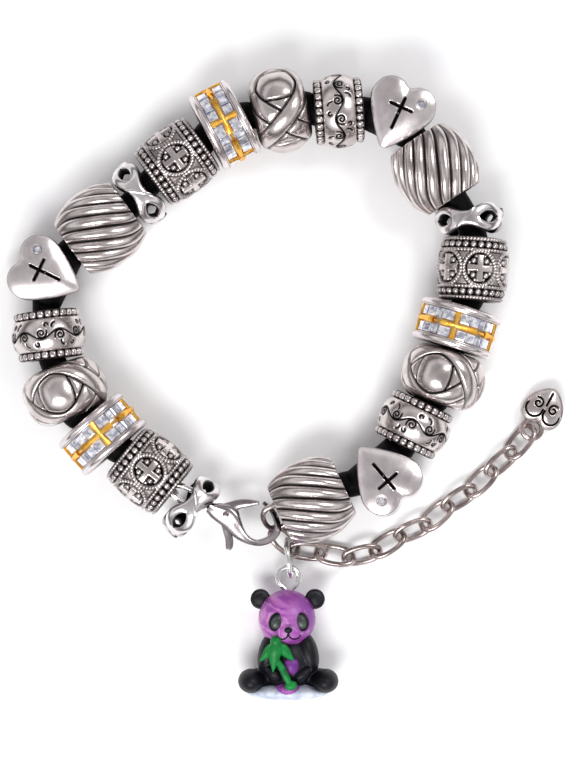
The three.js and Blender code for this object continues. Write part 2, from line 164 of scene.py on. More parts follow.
def tube(path, radius, sides=16, closed=True, up=(0, 0, 1), flatten=1.0):
    """A round wire along a path that lies across `up`; flatten squeezes it along `up`."""
    path = np.asarray(path, float)
    if closed:
        along = np.roll(path, -1, 0) - np.roll(path, 1, 0)
    else:
        along = np.gradient(path, axis=0)
    along /= np.linalg.norm(along, axis=1)[:, None]
    side = np.cross(along, np.asarray(up, float))
    side /= np.linalg.norm(side, axis=1)[:, None]
    lift = np.cross(side, along)
    radius = np.broadcast_to(np.asarray(radius, float), len(path))[:, None, None]
    c, s = (values[None, :, None] for values in circle(1, sides))
    return loft(path[:, None] + radius * (c * side[:, None] + flatten * s * lift[:, None]), closed)


def circle(radius, count):
    """The two coordinates of even points on a circle, cosines first."""
    angle = np.arange(count) * TAU / count
    return radius * np.cos(angle), radius * np.sin(angle)


def about_bore(angle, along, radius):
    """The point of a bead at an angle from +Z towards +X."""
    return radius * math.sin(angle), along, radius * math.cos(angle)


def mirrored(half, *middle):
    """Points (x, y) up to the middle, the middle itself, and the same points with x reversed."""
    return [*half, *middle, *((-x, y) for x, y in half[::-1])]


def merged(shapes):
    """Several shapes as one."""
    verts, faces, start = [], [], 0
    for points, polygons in shapes:
        verts.append(points)
        faces += [[start + k for k in polygon] for polygon in polygons]
        start += len(points)
    return np.vstack(verts), faces


def bead_skin(radius, along, marks):
    """A bead from rows of radii at angles from +Z towards +X, with chamfered ends and a bore."""
    columns = radius.shape[1]
    angle = np.arange(columns) * TAU / columns

    def end(row, outward):
        """Rows from the rim over the end face into the bore: radius, place along it, darkness; the
        darkness rising over the end face into the bore is partly oxide and partly painted shade.
        """
        rim, place = radius[row], along[row, 0]
        return [
            (rim - 0.12, place + 0.06 * outward, 0.25),
            ((rim.min() + BORE) / 2, place + 0.06 * outward, 0.35),
            (BORE + 0.1, place + 0.03 * outward, 0.6),
            (BORE, place - 0.15 * outward, 1),
        ]

    ends = end(-1, 1) + end(0, -1)[::-1]
    ring = np.ones((1, columns))
    radii = np.vstack([radius] + [ring * r for r, _, _ in ends])
    reach = np.vstack([ring * along] + [ring * y for _, y, _ in ends])
    dark = np.vstack([marks] + [ring * darkening for _, _, darkening in ends])
    verts = np.stack([radii * np.sin(angle), reach, radii * np.cos(angle)], axis=-1)
    return (verts.reshape(-1, 3), grid_faces(len(radii), columns, True)), dark


def bead_grid(half, rows, columns):
    """Distance along the bore and angle about it, as a column and a row."""
    return np.linspace(-half, half, rows)[:, None], (np.arange(columns) * TAU / columns)[None, :]


def ease(low, high, x):
    t = np.clip((x - low) / (high - low), 0, 1)
    return t * t * (3 - 2 * t)


def nearest(angle, count):
    """The angle from the nearest of `count` even places round the bead."""
    step = TAU / count
    return (angle + step / 2) % step - step / 2


def raised(ground, height, dark):
    """Adds a feature wherever it stands above the ground; ground is (height, darkness)."""
    above = height > ground[0]
    return np.where(above, height, ground[0]), np.where(above, dark, ground[1])


def granule(distance, radius, top):
    """Height and darkness of a soldered ball of metal."""
    dome = top - radius + np.sqrt(np.clip(radius**2 - distance**2, 0, None))
    return np.where(distance < radius, dome, NOWHERE), ease(0.55 * radius, radius, distance)


def rope(offset, width, notch, top=0.0):
    """Height and darkness of a milled wire, offset from its middle; notch waves 0..1 along it."""
    across = np.clip(1 - (offset / width) ** 2, 0, 1) ** 0.5
    height = top - width + width * across * (0.45 + 0.55 * notch)
    return np.where(across > 0, height, NOWHERE), 1 - np.clip(across * notch * 1.5, 0, 1)


def stroke_distance(a, b, strokes):
    """The distance from points to the nearest of some polylines."""
    best = np.full(np.broadcast(a, b).shape, 9.0)
    for stroke in strokes:
        stroke = np.asarray(stroke, float)
        for (x0, y0), (x1, y1) in zip(stroke[:-1], stroke[1:]):
            dx, dy = x1 - x0, y1 - y0
            t = np.clip(((a - x0) * dx + (b - y0) * dy) / (dx * dx + dy * dy + 1e-12), 0, 1)
            best = np.minimum(best, np.hypot(a - x0 - t * dx, b - y0 - t * dy))
    return best


def spiral(x, y, outer, inner, start, sweep, steps=26):
    """Points of a spiral about (x, y); angles in degrees."""
    t = np.linspace(0, 1, steps)
    r, angle = outer + (inner - outer) * t**0.8, np.radians(start + sweep * t)
    return np.stack([x + r * np.cos(angle), y + r * np.sin(angle)], axis=-1)


# --- Materials ---


def srgb(screen):
    """A colour given as 0..255 screen values."""
    shares = [value / 255 for value in screen]
    linear = [c / 12.92 if c <= 0.04045 else ((c + 0.055) / 1.055) ** 2.4 for c in shares]
    return (*linear, 1.0)


class Nodes:
    """A new material and short ways to add and link its nodes."""

    def __init__(self, name):
        self.material = bpy.data.materials.new(name)
        self.material.use_nodes = True
        self.tree = self.material.node_tree
        self.shader = self.tree.nodes["Principled BSDF"]
        self.where = self.tree.nodes.new("ShaderNodeTexCoord").outputs["Object"]

    def feed(self, socket, value):
        """Links another node's output to a socket, or sets the socket's own value."""
        if isinstance(value, bpy.types.NodeSocket):
            self.tree.links.new(value, socket)
        else:
            socket.default_value = value

    def add(self, kind, inputs=None, **settings):
        node = self.tree.nodes.new(kind)
        for key, value in settings.items():
            setattr(node, key, value)
        for key, value in (inputs or {}).items():
            self.feed(node.inputs[key], value)
        return node

    def noise(self, scale, detail, distortion=0.0):
        inputs = {"Vector": self.where, "Scale": scale, "Detail": detail, "Distortion": distortion}
        return self.add("ShaderNodeTexNoise", inputs).outputs["Fac"]

    def spread(self, value, low, high, to_low=0.0, to_high=1.0):
        ends = {"From Min": low, "From Max": high, "To Min": to_low, "To Max": to_high}
        return self.add("ShaderNodeMapRange", {"Value": value, **ends}).outputs["Result"]

    def blend(self, factor, first, second):
        """Mixes two colours, each a node's output or (r, g, b) as srgb takes them."""
        node = self.add("ShaderNodeMix", data_type="RGBA")
        for index, value in ((0, factor), (6, first), (7, second)):
            self.feed(node.inputs[index], srgb(value) if isinstance(value, tuple) else value)
        return node.outputs[2]

    def bump(self, height, strength, distance):
        inputs = {"Height": height, "Strength": strength, "Distance": distance}
        self.link(self.add("ShaderNodeBump", inputs).outputs["Normal"], "Normal")

    def link(self, value, socket):
        """Feeds one of the shader's own sockets."""
        self.feed(self.shader.inputs[socket], value)


def silver(name, bright, worn, dark, polish, waviness):
    """Cast metal: polished and worn patches, uneven, darker where the mesh is marked: oxide in its
    hollows, and painted shade at bead ends, in bores and cuts, and down the fish ribbons' edges.
    """
    n = Nodes(name)
    patches = n.spread(n.noise(420, 3), 0.35, 0.68)
    clean = n.blend(patches, bright, worn)
    # The marks read here are oxide in the hollows and painted shade alike.
    darkening = n.add("ShaderNodeAttribute", attribute_name="dark").outputs["Fac"]
    n.link(n.blend(darkening, clean, dark), "Base Color")
    n.link(1.0, "Metallic")
    grain = n.spread(n.noise(800, 2), 0.3, 0.7, polish - 0.03, polish + 0.04)
    rough = n.add("ShaderNodeMath", {0: darkening, 1: 0.42, 2: grain}, operation="MULTIPLY_ADD")
    n.link(rough.outputs[0], "Roughness")
    fine, coarse = n.noise(2200, 2), n.noise(330, 2)
    uneven = n.add("ShaderNodeMath", {0: fine, 1: 0.04, 2: coarse}, operation="MULTIPLY_ADD")
    n.bump(uneven.outputs[0], waviness, 0.0004)
    return n.material


ANTIQUE = silver("antique_silver", (226, 218, 216), (188, 178, 177), (10, 7, 9), 0.22, 0.08)
SATIN = silver("satin_silver", (234, 227, 226), (212, 203, 205), (10, 7, 9), 0.24, 0.02)
BRIGHT = silver("bright_silver", (240, 236, 236), (204, 197, 199), (16, 12, 14), 0.19, 0.08)
PALE = silver("pale_silver", (244, 244, 242), (222, 224, 222), (70, 70, 72), 0.18, 0.12)
GREY = silver("clasp_silver", (172, 165, 167), (142, 133, 136), (16, 12, 14), 0.24, 0.06)
CHAIN = silver("chain_metal", (198, 186, 182), (146, 132, 130), (16, 12, 13), 0.2, 0.14)


def mottled(name, light, deep, mottle, rough, uneven=None, sockets=None):
    """Two shades mixed by a noise, an uneven roughness and, with uneven, a bump."""
    n = Nodes(name)
    scale, detail, swirl, low, high = mottle
    shade = n.spread(n.noise(scale, detail, swirl), low, high)
    n.link(n.blend(shade, light, deep), "Base Color")
    scale, detail, low, high = rough
    n.link(n.spread(n.noise(scale, detail), 0.3, 0.7, low, high), "Roughness")
    if uneven:
        scale, detail, strength, distance = uneven
        n.bump(n.noise(scale, detail), strength, distance)
    for socket, value in (sockets or {}).items():
        n.link(value, socket)
    return n.material


def resin(name, light, deep, scale, roughness, swirl):
    """Painted resin, with a soft moulded unevenness."""
    mottle = scale, 3, swirl, 0.38, 0.62
    rough = 1600, 3, roughness - 0.06, roughness + 0.08
    gloss = {"Specular IOR Level": 0.25}
    return mottled(name, light, deep, mottle, rough, (700, 3, 0.15, 0.0002), gloss)


def marbled_head():
    """Purple resin, pinker and lighter on the left, with thin swirled streaks."""
    n = Nodes("resin_purple")
    split = n.add("ShaderNodeSeparateXYZ", {"Vector": n.where}).outputs
    low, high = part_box("panda_charm")
    middle = (low.x + high.x) / 2
    side = n.spread(split["X"], middle - 0.0035, middle + 0.0035)
    base = n.blend(side, (196, 124, 190), (124, 44, 146))
    streaks = n.spread(n.noise(170, 4, 3.2), 0.44, 0.6)
    veined = n.blend(streaks, base, (142, 64, 152))
    pale = n.spread(n.noise(260, 3, 4.0), 0.6, 0.7, 0.0, 0.55)
    n.link(n.blend(pale, veined, (206, 150, 198)), "Base Color")
    n.link(n.spread(n.noise(1600, 3), 0.3, 0.7, 0.3, 0.42), "Roughness")
    n.bump(n.noise(600, 3), 0.12, 0.0002)
    return n.material


GOLD = mottled(
    "gold_plate", (255, 206, 104), (246, 172, 58), (700, 3, 0, 0.3, 0.7), (2400, 2, 0.24, 0.36),
    (900, 2, 0.25, 0.0003), {"Metallic": 1.0},
)
# Foil-backed cut stones over a pale blue foil: the near-white mixed into their colour by a noise is
# painted glints, which vary from stone to stone.
CRYSTAL = mottled(
    "crystal", (186, 188, 208), (252, 252, 255), (1500, 1, 0, 0.38, 0.62), (3000, 1, 0.05, 0.16),
    None, {"Metallic": 0.75, "Coat Weight": 1.0, "Coat Roughness": 0.04},
)
RUBBER = mottled(
    "rubber_black", (5, 4, 6), (15, 13, 17), (900, 4, 0, 0.45, 0.8), (2000, 2, 0.5, 0.65),
    (5000, 2, 0.2, 0.0001), {"Specular IOR Level": 0.08},
)
PURPLE = marbled_head()
PLUM = resin("resin_plum", (122, 56, 140), (78, 36, 110), 300, 0.38, 2.0)
NAVY = resin("resin_navy", (17, 17, 27), (8, 8, 14), 300, 0.46, 1.5)
GREEN = resin("resin_green", (8, 126, 54), (3, 92, 38), 260, 0.4, 1.0)
FROST = resin("resin_pale", (214, 220, 232), (178, 186, 206), 260, 0.4, 2.0)
# Painted sheen: this grey-green stands for the shine on the panda's glossy black eyes.
EYE_SHEEN = resin("resin_eye_sheen", (78, 84, 82), (44, 50, 50), 500, 0.3, 1.0)


# --- Bead skins, each with its bore along Y, top at +Z and the bracelet's outer side at -X ---

BORE = 2.95
NOWHERE = -9  # a height below any feature's


def granulated_skin():
    """A barrel with rows of soldered balls between milled wires, and six round cross medallions."""
    half, radius, rows, columns = 4.64, 5.36, 80, 288
    y, angle = bead_grid(half, rows, columns)
    edge = half - np.abs(y)
    envelope = radius - 0.62 * (np.abs(y) / half) ** 2.4
    ground = np.full((rows, columns), -0.52), np.ones((rows, columns))

    def waves(count, phase=0.0):
        return np.abs(np.cos((angle + phase) * count / 2))

    arc = radius * nearest(angle, 6)
    rho = np.hypot(arc, y)
    weave = 0.5 + 0.5 * np.sin(8.5 * (arc + y)) * np.sin(8.5 * (arc - y))
    spandrel = (np.abs(y) < 2.4) & (rho > 2.98)
    spoke = np.abs(np.cos(17 * np.arctan2(y, arc)))
    out, up = np.abs(arc), np.abs(y)
    reach, across = np.maximum(out, up), np.minimum(out, up)
    margin = np.minimum(0.48 + 0.1 * reach**2 / 4 - across, 2.04 - reach)
    cross = np.where(margin > 0, 0.02 - 0.24 * (1 - ease(0, 0.14, margin)), NOWHERE)
    corner = np.minimum(np.hypot(out - 0.74, up - 1.76), np.hypot(out - 1.76, up - 0.74))
    features = [
        (np.where(spandrel, -0.27 + 0.07 * weave, NOWHERE), 0.62 - 0.3 * weave),
        rope(edge - 0.27, 0.27, waves(56)),
        granule(np.hypot(4.95 * nearest(angle, 26), edge - 1.12), 0.53, 0.04),
        rope(edge - 1.92, 0.25, waves(60, 0.03)),
        rope(rho - 2.58, 0.32, spoke, 0.03),
        (cross, 0.55 * (1 - ease(0.02, 0.14, margin))),
        granule(np.hypot(out - 1.06, up - 1.06), 0.46, -0.08),
        granule(corner, 0.24, -0.2),
    ]
    for height, dark in features:
        ground = raised(ground, height, dark)
    return bead_skin(envelope + ground[0], y, ground[1])


def knot_skin():
    """Three domes held by two ribbons that cross between them, with small petals in the corners."""
    half, radius, rows, columns = 4.0, 6.2, 74, 288
    flat_half, swing_width = 4.85, 3.62  # of the pattern, unrolled
    bend = math.pi / 2 * 0.985
    t = np.linspace(-1, 1, rows)[:, None]
    y = half * np.sin(t * bend) / math.sin(bend)
    _, angle = bead_grid(half, rows, columns)
    envelope = 3.95 + 2.25 * np.clip(1 - (np.abs(y) / half) ** 2.35, 0, 1) ** 0.62
    tangent = t * flat_half
    turn = math.pi * nearest(angle, 3) / (TAU / 3)
    arc = radius * nearest(angle, 3)
    swing = swing_width * np.cos(turn)
    slope = np.hypot(1, 0.62 * np.sin(np.abs(turn)))
    width = 0.98 + 0.4 * np.abs(np.sin(turn))
    outward = width + 1.5 * (swing / swing_width) ** 2
    upper = np.where(tangent > swing, outward, width) - np.abs(tangent - swing) / slope
    lower = np.where(tangent < -swing, outward, width) - np.abs(tangent + swing) / slope
    over = np.where(arc > 0, upper, lower)
    under = np.where(arc > 0, lower, upper)
    dome = 2.8 - np.hypot(arc, tangent / 1.35)
    regions = [  # depth inside it, its puff and how far that takes to rise
        (over, 0.3, 1.35),
        (np.minimum(under, -over), 0.2, 1.3),
        (np.minimum(dome, np.minimum(-over, -under)), 0.45, 2.8),
        (np.minimum(-dome, np.minimum(-over, -under)), 0.12, 1.0),
    ]
    height = np.full((rows, columns), -0.42)
    dark = np.ones((rows, columns))
    for depth, puff, soft in regions:
        inside = depth > 0
        shoulder = 0.5 * (1 - ease(0, 0.28, depth))
        crown = puff * (1 - (1 - np.clip(depth / soft, 0, 1)) ** 2)
        height = np.where(inside, crown - shoulder, height)
        dark = np.where(inside, 1 - ease(0.09, 0.24, depth), dark)
    fade = ease(flat_half, 4.4, np.abs(tangent))
    return bead_skin(envelope + (height - 0.12) * (0.35 + 0.65 * fade), y, dark)


def scroll_skin():
    """A polished band engraved with a running vine, between two rings of square studs."""
    half, columns, repeats, period = 3.54, 384, 6, 5.6
    y, angle = bead_grid(half, 64, columns)
    edge = half - np.abs(y)
    body = 5.52 - 0.68 * (np.abs(y) / 2.35) ** 2.2
    arc = (angle * repeats / TAU % 1) * period
    wave = np.linspace(-0.6, period + 0.6, 50)
    vine = np.stack([wave, 0.62 * np.sin(TAU * wave / period)], axis=-1)
    strokes = [vine]
    for shift in (-period, 0, period):
        strokes.append(spiral(period / 4 + shift, -0.22, 0.86, 0.16, 205, -560))
        strokes.append(spiral(3 * period / 4 + shift, 0.22, 0.86, 0.16, 25, -560))
        for x, flip in ((shift, 1), (period / 2 + shift, -1)):
            turned = 90 + 90 * (1 - flip)
            strokes.append(spiral(x + 0.75 * flip, flip * 1.1, 0.62, 0.5, turned, 95 * flip, 9))
            back = 180 * (flip < 0)
            strokes.append(spiral(x - 0.62 * flip, flip * 1.42, 0.34, 0.2, back, 250, 9))
    line = stroke_distance(arc[:, : columns // repeats], y, strokes)
    line = np.tile(line, (1, repeats))
    line = np.where(np.abs(y) < 2.15, line, 9)
    cut = 1 - ease(0.1, 0.22, line)
    band = np.abs(y) < 2.36
    ground = np.where(band, body - 0.14 * cut, 4.45), np.where(band, cut, 1.0)
    stud_x, stud_y = 4.85 * nearest(angle, 25), edge - 0.55
    square = (np.abs(stud_x / 0.56) ** 3.2 + np.abs(stud_y / 0.52) ** 3.2) ** (1 / 3.2)
    stud = np.where(square < 1, 4.5 + 0.42 * np.clip(1 - square**2.6, 0, 1) ** 0.5, NOWHERE)
    ground = raised(ground, stud, ease(0.72, 1.0, square))
    return bead_skin(ground[0], y, ground[1])


def ribbed_skin():
    """A barrel of fat ribs that twist along it."""
    half, ribs, twist = 5.19, 16, math.radians(66)
    y, angle = bead_grid(half, 60, 288)
    envelope = 5.85 - 1.5 * (np.abs(y) / half) ** 2.3
    wander = 0.02 * np.sin(0.5 * y + 3 * angle) + 0.012 * np.sin(0.9 * y - 5 * angle)
    around = angle - twist * y / (2 * half) + wander
    x = np.abs((around * ribs / TAU % 1) * 2 - 1)
    rib = np.clip(1 - x**2, 0, 1) ** 0.6
    relief = (0.95 * rib - 0.6) * envelope / 5.3
    dark = ease(0.66, 0.93, x)
    return bead_skin(envelope + relief, y, dark)


def ridge_bar(start, end, low, high, width, flare=0.0):
    """A bar with a roof-shaped top from (angle, y) to (angle, y) on a bead, widening by flare."""
    t = np.linspace(0, 1, 14)
    theta = start[0] + (end[0] - start[0]) * t
    y = start[1] + (end[1] - start[1]) * t
    along = np.array([(end[0] - start[0]) * high, end[1] - start[1]])
    along /= np.linalg.norm(along)
    across = np.array([-along[1], along[0]])
    half = width + flare * t**2
    section = mirrored([(-1, low), (-1, high - 0.14), (-0.7, high - 0.05)], (0, high + 0.06))
    rings = []
    for a, b, out in zip(theta, y, half):
        ring = [(a + across[0] * w * out / high, b + across[1] * w * out, r) for w, r in section]
        rings.append([about_bore(*point) for point in ring])
    return loft(rings)


BAND = 6.0  # the radius at which the two-tone bead's pattern is measured


def baguette(a0, a1, y0, y1):
    """A step-cut stone over a patch of the bead."""
    rings = []
    for inset, radius in ((0, 5.4), (0, 5.66), (0.1, 5.77), (0.24, 5.81)):
        low_a, high_a = a0 + inset / BAND, a1 - inset / BAND
        low_y, high_y = y0 + inset, y1 - inset
        corners = [(low_a, low_y), (high_a, low_y), (high_a, high_y), (low_a, high_y)]
        rings.append([about_bore(a, b, radius) for a, b in corners])
    return loft(np.array(rings)[:, ::-1])


def two_tone_parts():
    """A channel between polished rims, with five gold crosses and cut stones in their corners."""
    edge_to_middle = [
        (-3.14, 5.72), (-3.0, 5.98), (-2.8, 6.12), (-2.55, 6.17), (-2.34, 6.12), (-2.27, 6.02),
        (-2.24, 5.96), (-2.17, 5.97), (-2.08, 5.93), (-2.05, 5.8), (-2.05, 5.42), (-1.4, 5.4),
        (-0.7, 5.4),
    ]
    y, radius = np.array(mirrored(edge_to_middle, (0, 5.4))).T[:, :, None]
    dark = np.where(np.abs(y) < 2.06, 0.3, 0) + np.where(np.abs(np.abs(y) - 2.24) < 0.04, 0.6, 0)
    around = np.ones((1, 180))
    rims = bead_skin(radius * around, y, dark * around)
    floor_radius, cross_radius, arm = 5.42, 6.0, 2.04
    crosses, stones = [], []
    for middle in np.arange(5) * TAU / 5:
        leg, top = (middle - 3.75 / BAND, 0), (middle + 2.3 / BAND, 0)
        for end in (leg, top, (middle, arm), (middle, -arm)):
            crosses.append(ridge_bar((middle, 0), end, floor_radius, cross_radius, 0.34, 0.14))
        link = (middle - 3.9 / BAND, 0), (middle - 5.1 / BAND, 0)
        crosses.append(ridge_bar(*link, floor_radius, 5.8, 0.2))
        for y0, y1 in ((-1.99, -0.5), (0.5, 1.99)):
            for a0, a1 in ((-4.84, -3.8), (-3.74, -2.18), (-2.12, -0.5), (0.5, 2.5)):
                stones.append(baguette(middle + a0 / BAND, middle + a1 / BAND, y0, y1))
    return *rims, merged(crosses), merged(stones)


def ichthys_parts():
    """Two flat ribbons that meet and part four times round the bead, one over the other."""
    steps, outer, thick = 176, 5.02, 0.95
    angle = np.arange(steps) * TAU / steps
    from_eye = nearest(angle, 4)
    swell = 0.5 + 0.5 * np.cos(4 * from_eye)
    reach = 1.15 + 1.0 * swell**1.1
    hole = 0.84 * np.clip(1 - (np.abs(from_eye) / 0.36) ** 2.2, 0, 1)
    bands, dark = [], []
    for side in (1, -1):
        rings = []
        for a, low, high in zip(angle, hole, reach):
            soft = min(0.26, low * 1.2)
            section = [
                (low, outer - thick), (low, outer - soft), (low + soft * 0.4, outer - soft * 0.3),
                (low + soft, outer), ((low + high) / 2, outer + 0.05), (high - 0.45, outer),
                (high - 0.18, outer - 0.1), (high - 0.03, outer - 0.32),
                (high, outer - thick + 0.1), (high - 0.12, outer - thick),
            ]
            ring = [about_bore(a, side * b, r) for b, r in section]
            rings.append(ring if side > 0 else ring[::-1])
        bands.append(loft(np.array(rings)[:, ::-1], True))
        # Painted shade: each ribbon is marked dark down both its edges and on its underside.
        shade = [1, 0.9, 0.2, 0, 0, 0, 0, 0.1, 0.5, 1]
        dark.append(np.tile(shade[::-1] if side > 0 else shade, steps))
    for crossing in range(4):
        middle = crossing * TAU / 4 + TAU / 8
        rings = []
        for s in np.linspace(-1, 1, 15):
            a, b = middle + s * 0.3, 0.95 * math.sin(s * 1.45)
            half = 0.66 - 0.1 * s * s
            top = outer + 0.16 - 0.22 * s**4
            section = mirrored([(-1, outer - 0.2), (-0.94, top - 0.08), (-0.55, top)])
            rings.append([about_bore(a + 0.1 * w * half, b + w * half, r) for w, r in section])
        bands.append(loft(rings))
        # Painted shade: each strap over a crossing is marked dark down its sides.
        dark.append(np.concatenate([np.tile([1, 0.35, 0, 0, 0.35, 1], len(rings)), [0, 0]]))
    return merged(bands), np.concatenate(dark)


def heart_outline(width, height, count, notch, full):
    """Even points of a heart about its box's middle, its tip at +X; full 0 has straight sides."""
    lobe, top, tip = width / 4, height / 2 - width / 4, -height / 2
    dip = (0, top + notch * lobe)
    shoulder = (2 * lobe, top - 0.3 * lobe)
    side = ((1.93 + 0.07 * full) * lobe, top - (1.15 + 0.45 * full) * lobe)
    foot = ((0.55 + 0.25 * full) * lobe, tip + (0.4 - 0.2 * full) * lobe)
    t = np.linspace(0, 1, 120)[:, None]
    weights = np.hstack([(1 - t) ** 3, 3 * (1 - t) ** 2 * t, 3 * (1 - t) * t * t, t**3])
    lobe_curve = dip, (0.5 * lobe, top + 1.3 * lobe), (1.95 * lobe, top + 1.2 * lobe), shoulder
    side_curve = shoulder, side, foot, (0, tip)
    right = np.vstack([weights @ np.array(lobe_curve), weights @ np.array(side_curve)])
    ring = np.vstack([right, (right * [-1, 1])[-2::-1]])
    travel = np.concatenate([[0], np.cumsum(np.linalg.norm(np.diff(ring, axis=0), axis=1))])
    want = np.linspace(0, travel[-1], count, endpoint=False)
    even = np.stack([np.interp(want, travel, ring[:, k]) for k in (0, 1)], axis=-1)
    even = sum(np.roll(even, shift, 0) for shift in range(-5, 6)) / 11
    even[:, 1] -= (even[:, 1].max() + even[:, 1].min()) / 2
    return np.stack([-even[:, 1], even[:, 0]], axis=-1)


PUFF = 0.85  # how far a heart's face bulges


def puffed_heart(width, height, wall, count, notch, full, cut):
    """A puffed heart, face up; cut(x, y) gives how deep and how dark its engraving is."""

    def crown(share):
        return PUFF * (1 - share**2.3) ** 0.78

    outline = heart_outline(width, height, count, notch, full)
    centre = np.array([-0.03 * height, 0.0])
    rows, dark = [], []
    for k in [*np.linspace(0.02, 0.9, 44), 0.93, 0.96, 0.978]:
        flat = centre + (outline - centre) * k
        depth, darkening = cut(flat[:, 0], flat[:, 1])
        rows.append(np.column_stack([flat, wall + crown(k) - depth]))
        dark.append(darkening)
    seam = [(0.984, wall - 0.07, 0.5), (0.988, wall - 0.16, 0.8), (0.998, wall - 0.2, 0.3)]
    side = [(1, z, 0) for z in (wall - 0.3, 0.5 * wall, -0.5 * wall, -wall)]
    back = [(k, -wall - crown(k), 0) for k in (0.985, 0.95, 0.88, 0.76, 0.6, 0.4, 0.2, 0.04)]
    for k, z, darkening in seam + side + back:
        rows.append(np.column_stack([centre + (outline - centre) * k, np.full(count, z)]))
        dark.append(np.full(count, darkening))
    shape = loft(np.array(rows)[::-1])
    return shape, np.concatenate([np.array(dark)[::-1].ravel(), [0, 0]])


def groove(distance, half, depth):
    """Depth and darkness of an engraved line."""
    cut = 1 - ease(half * 0.62, half * 1.15, distance)
    return depth * cut, cut


STONE = (-2.95, 2.55, 4.0)  # where the heart's small stone sits


def heart_cut(x, y):
    """The engraved Latin cross, its long leg towards the tip, and the seat of the small stone."""
    strokes = [[(-2.75, 0), (1.9, 0)], [(-1.35, -1.65), (-1.35, 1.65)]]
    depth, dark = groove(stroke_distance(x, y, strokes), 0.26, 0.36)
    seat = np.hypot(x - STONE[0], y - STONE[1])
    bowl = 0.12 * (1 - ease(0.6, 0.78, seat))
    rim = 0.7 * (1 - ease(0.04, 0.12, np.abs(seat - 0.74)))
    return np.maximum(depth, bowl), np.maximum(dark, rim)


def heart_parts():
    """The heart with its tarnish, and its stone."""
    sizes = {"width": 10.1, "height": 10.7, "wall": 3.5, "notch": 0.6}
    shape, dark = puffed_heart(**sizes, full=0, count=216, cut=heart_cut)
    rings = []
    for radius, z in ((0.62, -0.35), (0.62, 0.02), (0.6, 0.1), (0.36, 0.3)):
        rings.append(np.column_stack([*circle(radius, 8), np.full(8, z)]))
    stone = loft(rings)
    return shape, dark, stone


def applied(target):
    """Replaces an object's mesh by the one its modifiers make."""
    bpy.context.view_layer.update()
    evaluated = target.evaluated_get(bpy.context.evaluated_depsgraph_get())
    result = bpy.data.meshes.new_from_object(evaluated)
    target.modifiers.clear()
    target.data = result


def cut_away(target, shape, place):
    """Subtracts a shape, marking the cut faces dark as painted shade inside the cut."""
    verts, faces = moved(shape, place)
    # The cutter is marked fully dark everywhere: painted shade on the faces it cuts.
    mesh = new_mesh("cutter", verts, faces, np.ones(len(verts)), target.data.materials[0])
    cutter = linked("cutter", mesh)
    cut = target.modifiers.new("cut", "BOOLEAN")
    cut.operation, cut.solver, cut.object = "DIFFERENCE", "EXACT", cutter
    applied(target)
    bpy.data.objects.remove(cutter)
    target.data.set_sharp_from_angle(angle=math.radians(50))


# --- The beads ---

# Each bead's heading (the direction of its bore), its roll in the CAD model, and how far its
# pattern is turned about the bore, in degrees.
BEADS = {
    "ichthys_1": (139, -30, 0), "granulated_1": (141, 0, 2), "two_tone_1": (131, 0, 2),
    "knot_1": (112, 0, -8), "scroll_1": (97, 0, 10), "heart_1": (64, 8, 0), "ribbed_1": (36, 0, 4),
    "ichthys_2": (38, -42, 0), "granulated_2": (36, 0, 0), "two_tone_2": (27.5, 0, 0),
    "knot_2": (13, 0, -34), "scroll_2": (4, 0, 35), "heart_2": (-25, 8, 0), "ribbed_2": (-57, 0, 0),
    "ichthys_3": (-86, -32, 0), "granulated_3": (-94, 0, -7), "two_tone_3": (-107, 0, 7),
    "knot_3": (-108, 0, 19), "scroll_3": (-116, 0, 22), "heart_3": (-139.5, 8, 0),
    "ribbed_3": (-155, 0, 6),
}
HEART_BORE_AT = (0.8, 0, 0)  # to the inner side of the heart's middle
HEART_BORE = 3.35

SKINS = {
    "granulated": granulated_skin(),
    "knot": knot_skin(),
    "scroll": scroll_skin(),
    "ribbed": ribbed_skin(),
}
TWO_TONE = two_tone_parts()
ICHTHYS = ichthys_parts()
HEART = heart_parts()
SHARP_GOLD, SHARP_STONE, SHARP_RIBBON = 25, 12, 38  # degrees


def add_bead(node, heading, roll, pattern):
    """A bead of the kind that its node is named after."""
    kind = node.rsplit("_", 1)[0]
    origin, axes = bead_frame(node, heading, roll)
    place = origin, axes @ turn_y(pattern)
    if kind in SKINS:
        shape, dark = SKINS[kind]
        piece(f"{node}_skin", shape, "antique_silver", ANTIQUE, [node], place, dark=dark)
    elif kind == "two_tone":
        shape, dark, crosses, stones = TWO_TONE
        piece(f"{node}_rims", shape, "antique_silver", SATIN, [node], place, dark=dark)
        piece(f"{node}_crosses", crosses, "gold_plate", GOLD, (), place, sharp=SHARP_GOLD)
        piece(f"{node}_stones", stones, "crystal", CRYSTAL, (), place, sharp=SHARP_STONE)
    elif kind == "ichthys":
        shape, dark = ICHTHYS
        marks = {"dark": dark, "sharp": SHARP_RIBBON}
        piece(f"{node}_ribbons", shape, "bright_silver", BRIGHT, [node], place, **marks)
    else:
        shape, dark, stone = HEART
        body = piece(f"{node}_body", shape, "antique_silver", SATIN, [node], place, dark=dark)
        z, x = circle(HEART_BORE, 48)
        bore = loft([np.column_stack([x, np.full(48, y), z]) for y in np.linspace(-8, 8, 5)])
        cut_away(body, bore, (origin + axes @ HEART_BORE_AT, axes))
        seat = origin + axes @ STONE
        piece(f"{node}_stone", stone, "crystal", CRYSTAL, (), (seat, axes), sharp=SHARP_STONE)


for bead, numbers in BEADS.items():
    add_bead(bead, *numbers)


# --- The cord and its end caps ---


def centre(node):
    """The middle of a CAD node's box, in millimetres."""
    low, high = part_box(node)
    return np.array((low + high) / 2) / MM


# The CAD layout is drawn in loop coordinates; the charm ring's place in them gives the shift.
SHIFT = centre("charm_ring") - [3.5, -38.95, 3.2]
IN_LOOP = (SHIFT, np.eye(3))


